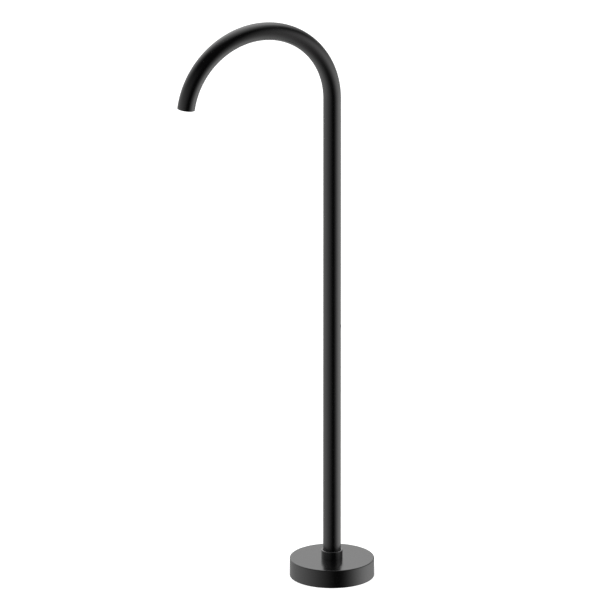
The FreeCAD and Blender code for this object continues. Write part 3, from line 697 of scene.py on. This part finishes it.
class BATHFILLER_OT_outlet_discs(bpy.types.Operator):
    """Make the drilled insert in the outlet, and the screen that lies on it"""
    bl_idname = "bathfiller.outlet_discs"
    bl_label = "Outlet Discs"

    def execute(self, context):
        tube = context.scene.bath_filler_tube
        outlet = context.scene.bath_filler_outlet
        where = {"Outlet": tube.outlet(), "Arch Angle": tube.arch_angle, "Radius": outlet.diameter / 2}
        insert = {
            **where,
            "Thickness": outlet.thickness,
            "Face": -outlet.recess,
            "Hole Radius": outlet.hole / 2,
            "Pitch": outlet.pitch,
            "Rings": outlet.rings,
            "Countersink": 0.25 * MM,
            "Finish": natural_acetal("Turned_Acetal_Insert", tube.outlet(), tube.arch_angle),
        }
        piece = grow("stream_straightener", drilled_disc_tree(insert), insert)
        place(piece, "outlet_insert", "acetal", "stream_insert")
        screen = {
            **where,
            "Thickness": outlet.screen_thickness,
            "Face": -outlet.recess - outlet.thickness,
            "Hole Radius": outlet.screen_hole / 2,
            "Pitch": outlet.screen_pitch,
            "Rings": outlet.screen_rings,
            "Countersink": 0.05 * MM,
            "Finish": stainless_steel("Etched_Stainless_Steel", (0.2 * MM, 0.2 * MM, 0.2 * MM)),
        }
        piece = grow("drilled_screen", drilled_disc_tree(screen), screen)
        place(piece, "outlet_insert", "stainless", "stream_screen")
        return {"FINISHED"}


def drilled_disc_tree(sizes):
    """A disc across the outlet, drilled in the middle and on rings of 6, 12, 18 and so on holes."""
    tree, given = new_node_tree("Drilled Disc", sizes)
    disc = add(tree, "GeometryNodeMeshCylinder", {
        "Vertices": 128, "Radius": given["Radius"], "Depth": given["Thickness"]})
    # ring n starts after 3 n (n - 1) + 1 holes, so hole i is on ring sqrt(12 i + 9) / 6 - 1/2, rounded up.
    # A hair is taken off first, so that a rounding error puts no hole on the next ring.
    hole = add(tree, "GeometryNodeInputIndex")
    scaled = add(tree, "ShaderNodeMath", {0: hole, 1: 12.0, 2: 9.0}, operation="MULTIPLY_ADD")
    root = add(tree, "ShaderNodeMath", {0: scaled}, operation="SQRT")
    share = add(tree, "ShaderNodeMath", {0: root, 1: 1 / 6, 2: -0.5 - 1e-4}, operation="MULTIPLY_ADD")
    ring = add(tree, "ShaderNodeMath", {0: share}, operation="CEIL")
    one_less = add(tree, "ShaderNodeMath", {0: ring, 1: 1.0}, operation="SUBTRACT")
    pairs = add(tree, "ShaderNodeMath", {0: ring, 1: one_less}, operation="MULTIPLY")
    first = add(tree, "ShaderNodeMath", {0: pairs, 1: 3.0, 2: 1.0}, operation="MULTIPLY_ADD")
    place_in_ring = add(tree, "ShaderNodeMath", {0: hole, 1: first}, operation="SUBTRACT")
    step = add(tree, "ShaderNodeMath", {0: math.pi / 3, 1: ring}, operation="DIVIDE")
    angle = add(tree, "ShaderNodeMath", {0: place_in_ring, 1: step}, operation="MULTIPLY")
    reach = add(tree, "ShaderNodeMath", {0: ring, 1: given["Pitch"]}, operation="MULTIPLY")
    cosine = add(tree, "ShaderNodeMath", {0: angle}, operation="COSINE")
    sine = add(tree, "ShaderNodeMath", {0: angle}, operation="SINE")
    around = add(tree, "ShaderNodeCombineXYZ", {"X": cosine, "Y": sine})
    hole_place = add(tree, "ShaderNodeVectorMath", {"Vector": around, "Scale": reach}, operation="SCALE")
    # as many holes as all rings hold, with the one in the middle
    one_more = add(tree, "ShaderNodeMath", {0: given["Rings"], 1: 1.0}, operation="ADD")
    all_pairs = add(tree, "ShaderNodeMath", {0: given["Rings"], 1: one_more}, operation="MULTIPLY")
    count = add(tree, "ShaderNodeMath", {0: all_pairs, 1: 3.0, 2: 1.0}, operation="MULTIPLY_ADD")
    holes = add(tree, "GeometryNodePoints", {"Count": count, "Position": hole_place})
    # each is bored through, then countersunk from the face
    through = add(tree, "ShaderNodeMath", {0: given["Thickness"], 1: 2.0}, operation="MULTIPLY")
    drill = add(tree, "GeometryNodeMeshCylinder", {
        "Vertices": 24, "Radius": given["Hole Radius"], "Depth": through})
    wide = add(tree, "ShaderNodeMath", {0: given["Countersink"], 1: 2.0, 2: given["Hole Radius"]},
               operation="MULTIPLY_ADD")
    deep = add(tree, "ShaderNodeMath", {0: given["Countersink"], 1: 2.0}, operation="MULTIPLY")
    point = add(tree, "GeometryNodeMeshCone", {
        "Vertices": 24, "Radius Top": wide, "Radius Bottom": given["Hole Radius"], "Depth": deep})
    half = add(tree, "ShaderNodeMath", {0: given["Thickness"], 1: 0.5}, operation="MULTIPLY")
    point_height = add(tree, "ShaderNodeMath", {0: half, 1: given["Countersink"]}, operation="SUBTRACT")
    for tool in (drill, raised(tree, point, point_height)):
        tools = add(tree, "GeometryNodeInstanceOnPoints", {"Points": holes, "Instance": tool})
        disc = add(tree, "GeometryNodeMeshBoolean", {"Mesh 1": disc, "Mesh 2": tools},
                   operation="DIFFERENCE", solver="EXACT")
    # its face lies in the outlet, tilted as the end of the arch is
    drop = add(tree, "ShaderNodeMath", {0: given["Face"], 1: half}, operation="SUBTRACT")
    return finished(tree, in_outlet(tree, raised(tree, disc, drop), given), given)


class BATHFILLER_OT_brass_fittings(bpy.types.Operator):
    """Finish the hub, the head, the rings, the sleeve and the nut as turned brass"""
    bl_idname = "bathfiller.brass_fittings"
    bl_label = "Brass Fittings"

    def execute(self, context):
        tube = context.scene.bath_filler_tube
        repaint(turned_brass("Turned_Brass"), "inlet_body", "standpipe_head", "swivel_sleeve", "foot_ring",
                "collar_nut")
        repaint(turned_brass("Turned_Brass_In_Outlet", tube.outlet(), tube.arch_angle), "outlet_socket")
        return {"FINISHED"}


class BATHFILLER_OT_steel_parts(bpy.types.Operator):
    """Finish the inner pipe, the plate on the floor and the screw in the back as steel"""
    bl_idname = "bathfiller.steel_parts"
    bl_label = "Steel Parts"

    def execute(self, context):
        repaint(stainless_steel("Drawn_Stainless_Steel", (0.3 * MM, 0.3 * MM, 40 * MM)), "standpipe")
        repaint(zinc_plated_steel(), "mounting_plate")
        repaint(black_oxide_steel(), "set_screw")
        return {"FINISHED"}


class BATHFILLER_OT_plastic_parts(bpy.types.Operator):
    """Finish the plain bearings and the outlet's housing as plastic"""
    bl_idname = "bathfiller.plastic_parts"
    bl_label = "Plastic Parts"

    def execute(self, context):
        repaint(natural_acetal("Turned_Acetal_Bearing"), "lower_glide_ring", "upper_glide_ring",
                "thrust_washer", "foot_bush")
        repaint(moulded_black_plastic(), "stream_housing")
        return {"FINISHED"}


class BATHFILLER_OT_seals(bpy.types.Operator):
    """Finish the seals and the floor gasket as rubber"""
    bl_idname = "bathfiller.seals"
    bl_label = "Seals"

    def execute(self, context):
        repaint(seal_rubber(), "floor_gasket", "lower_o_ring", "upper_o_ring", "outlet_seal", "collar_o_ring")
        return {"FINISHED"}


# ---------------------------------------------------------------- the studio

# The light that a black object mirrors: soft patches round it, each an angle round the object and above
# the horizon in degrees, its brightness, and how sharply it falls off. The studio's dark is taken from
# their sum, which leaves it nearly black in front of the object, and some light is left everywhere.
SOFT_PATCHES = (
    ("backdrop", -100.5, 37, 2.105, 3.78),
    ("edge_of_backdrop", 215, 45, 0.69, 18.2),
    ("lit_floor_right", 174, -28.5, 2.25, 2.1),
    ("room_in_front", 67.7, 27.7, 1.92, 0.655),
    ("lit_floor_left", -44.6, -35.3, 2.6, 0.8),
    ("side_wall_right", 138.4, 16.8, 0.42, 4.9),
    ("ceiling", 182, 78.4, 0.86, 5.9),
)
STUDIO_DARK = 2.853
LEAST_LIGHT = 0.012
# Large soft lamps: each an angle round the object and above the horizon in degrees, and its watts.
LAMPS = (("key_lamp", 10, 60, 70), ("fill_lamp", 150, 50, 50))
LAMP_DISTANCE = 3.0
LAMP_SIZE = 2.4
LAMP_AIM = Vector((0, 0, 0.4))
WHITE = (1, 1, 1, 1)


def direction(azimuth, elevation):
    """The way towards a place round the object. Azimuth 0 is in front of it and 90 degrees on its right."""
    return Vector((math.sin(azimuth) * math.cos(elevation), -math.cos(azimuth) * math.cos(elevation),
                   math.sin(elevation)))


def make_world():
    """White behind the object, and for its reflections the soft patches of a dark studio."""
    # Plain white all round would leave a black tube one even grey. The patches give it the bands of a real
    # studio, and the brightest is the part of the white backdrop that it mirrors.
    world = bpy.data.worlds.new("Studio")
    bpy.context.scene.world = world
    world.use_nodes = True
    tree = world.node_tree
    tree.nodes.clear()
    way = add(tree, "ShaderNodeTexCoord").outputs["Generated"]
    light = -STUDIO_DARK
    for name, azimuth, elevation, brightness, sharpness in SOFT_PATCHES:
        towards = direction(math.radians(azimuth), math.radians(elevation))
        near = add(tree, "ShaderNodeVectorMath", {0: way, 1: towards}, operation="DOT_PRODUCT", label=name)
        fall = add(tree, "ShaderNodeMath", {0: near, 1: sharpness, 2: -sharpness}, operation="MULTIPLY_ADD")
        patch = add(tree, "ShaderNodeMath", {0: fall}, operation="EXPONENT")
        light = add(tree, "ShaderNodeMath", {0: patch, 1: brightness, 2: light}, operation="MULTIPLY_ADD")
    light = add(tree, "ShaderNodeMath", {0: light, 1: LEAST_LIGHT}, operation="MAXIMUM")
    patches = add(tree, "ShaderNodeBackground", {"Color": WHITE, "Strength": light})
    backdrop = add(tree, "ShaderNodeBackground", {"Color": WHITE, "Strength": 1.0})
    path = add(tree, "ShaderNodeLightPath").outputs
    seen = add(tree, "ShaderNodeMath", {0: path["Is Camera Ray"], 1: path["Is Transmission Ray"]},
               operation="MAXIMUM")
    both = add(tree, "ShaderNodeMixShader", {0: seen, 1: patches, 2: backdrop})
    add(tree, "ShaderNodeOutputWorld", {"Surface": both})


def make_floor(radius):
    """A pale floor that keeps a faint shadow, fades to white and lets the underside be seen from below."""
    # It is drawn a hair above the faces that stand on it, because in one plane with them it would cut their
    # light into wedges.
    hair = 0.1 * MM
    material = new_material("Pale_Studio_Floor")
    tree = material.node_tree
    paint = add(tree, "ShaderNodeBsdfDiffuse", {"Color": linear("#BFBFBF")})
    from_foot = add(tree, "ShaderNodeVectorMath", {
        0: add(tree, "ShaderNodeTexCoord").outputs["Object"]}, operation="LENGTH")
    whiter = add(tree, "ShaderNodeMapRange", {
        "Value": from_foot, "From Min": 0.5, "From Max": 2.0, "To Min": 0.72, "To Max": 1.0})
    glow = add(tree, "ShaderNodeEmission", {"Color": WHITE, "Strength": whiter})
    lit = add(tree, "ShaderNodeAddShader", {0: paint, 1: glow})
    for_camera = add(tree, "ShaderNodeMixShader", {
        0: add(tree, "ShaderNodeLightPath").outputs["Is Camera Ray"], 1: paint, 2: lit})
    from_below = add(tree, "ShaderNodeMixShader", {
        0: add(tree, "ShaderNodeNewGeometry").outputs["Backfacing"], 1: for_camera,
        2: add(tree, "ShaderNodeBsdfTransparent")})
    add(tree, "ShaderNodeOutputMaterial", {"Surface": from_below})
    shape = bmesh.new()
    bmesh.ops.create_circle(shape, cap_ends=True, radius=radius, segments=128)
    bmesh.ops.translate(shape, verts=shape.verts, vec=(0, 0, hair))
    floor = new_piece("studio_floor", finished_mesh("studio_floor", shape, material))
    floor.visible_glossy = False


def make_lamp(name, towards, power):
    """A large soft lamp that lights the object and leaves no hard mark in its reflections."""
    lamp = bpy.data.lights.new(name, "AREA")
    lamp.shape = "DISK"
    lamp.size = LAMP_SIZE
    lamp.energy = power
    holder = new_piece(name, lamp)
    holder.location = LAMP_AIM + towards * LAMP_DISTANCE
    holder.rotation_euler = towards.to_track_quat("Z", "Y").to_euler()
    holder.visible_glossy = False


class BATHFILLER_OT_studio(bpy.types.Operator):
    """Set up the floor, the soft light and the camera"""
    bl_idname = "bathfiller.studio"
    bl_label = "Studio"

    def execute(self, context):
        studio = context.scene.bath_filler_studio
        make_world()
        make_floor(studio.floor_radius)
        for name, azimuth, elevation, power in LAMPS:
            make_lamp(name, direction(math.radians(azimuth), math.radians(elevation)), power)
        back = direction(studio.azimuth, studio.elevation)
        right = Vector((math.cos(studio.azimuth), math.sin(studio.azimuth), 0))
        up = back.cross(right)
        camera = bpy.data.cameras.new("camera")
        camera.lens = studio.lens
        distance = studio.frame * camera.lens / camera.sensor_width
        camera.clip_end = 2 * distance
        holder = new_piece("camera", camera)
        holder.location = up * studio.aim_up - right * studio.aim_left + back * distance
        holder.rotation_euler = back.to_track_quat("Z", "Y").to_euler()
        context.scene.camera = holder
        context.scene.view_settings.view_transform = "Standard"
        return {"FINISHED"}


class BATHFILLER_PT_panel(bpy.types.Panel):
    """Builds the bath filler step by step"""
    bl_label = "Bath Filler"
    bl_idname = "BATHFILLER_PT_panel"
    bl_space_type = "VIEW_3D"
    bl_region_type = "UI"
    bl_category = "Bath Filler"

    def draw(self, context):
        scene = context.scene
        for name, group in PROPERTY_GROUPS.items():
            for size in group.__annotations__:
                self.layout.prop(getattr(scene, name), size)
        for operator in OPERATORS:
            self.layout.operator(operator.bl_idname)


PROPERTY_GROUPS = {
    "bath_filler_tube": BathFillerTube,
    "bath_filler_cover": BathFillerCover,
    "bath_filler_screws": BathFillerScrews,
    "bath_filler_outlet": BathFillerOutlet,
    "bath_filler_finish": BathFillerFinish,
    "bath_filler_studio": BathFillerStudio,
}
OPERATORS = (
    BATHFILLER_OT_arched_tube,
    BATHFILLER_OT_base_cover,
    BATHFILLER_OT_hub_screws,
    BATHFILLER_OT_outlet_discs,
    BATHFILLER_OT_brass_fittings,
    BATHFILLER_OT_steel_parts,
    BATHFILLER_OT_plastic_parts,
    BATHFILLER_OT_seals,
    BATHFILLER_OT_studio,
)


def register():
    for name, group in PROPERTY_GROUPS.items():
        bpy.utils.register_class(group)
        setattr(bpy.types.Scene, name, bpy.props.PointerProperty(type=group))
    for kind in (*OPERATORS, BATHFILLER_PT_panel):
        bpy.utils.register_class(kind)


def unregister():
    for kind in (BATHFILLER_PT_panel, *reversed(OPERATORS)):
        bpy.utils.unregister_class(kind)
    for name, group in reversed(PROPERTY_GROUPS.items()):
        delattr(bpy.types.Scene, name)
        bpy.utils.unregister_class(group)


def main():
    """Builds everything in order."""
    register()
    bpy.ops.bathfiller.arched_tube()
    bpy.ops.bathfiller.base_cover()
    bpy.ops.bathfiller.hub_screws()
    bpy.ops.bathfiller.outlet_discs()
    bpy.ops.bathfiller.brass_fittings()
    bpy.ops.bathfiller.steel_parts()
    bpy.ops.bathfiller.plastic_parts()
    bpy.ops.bathfiller.seals()
    bpy.ops.bathfiller.studio()


if __name__ == "__main__":
    main()
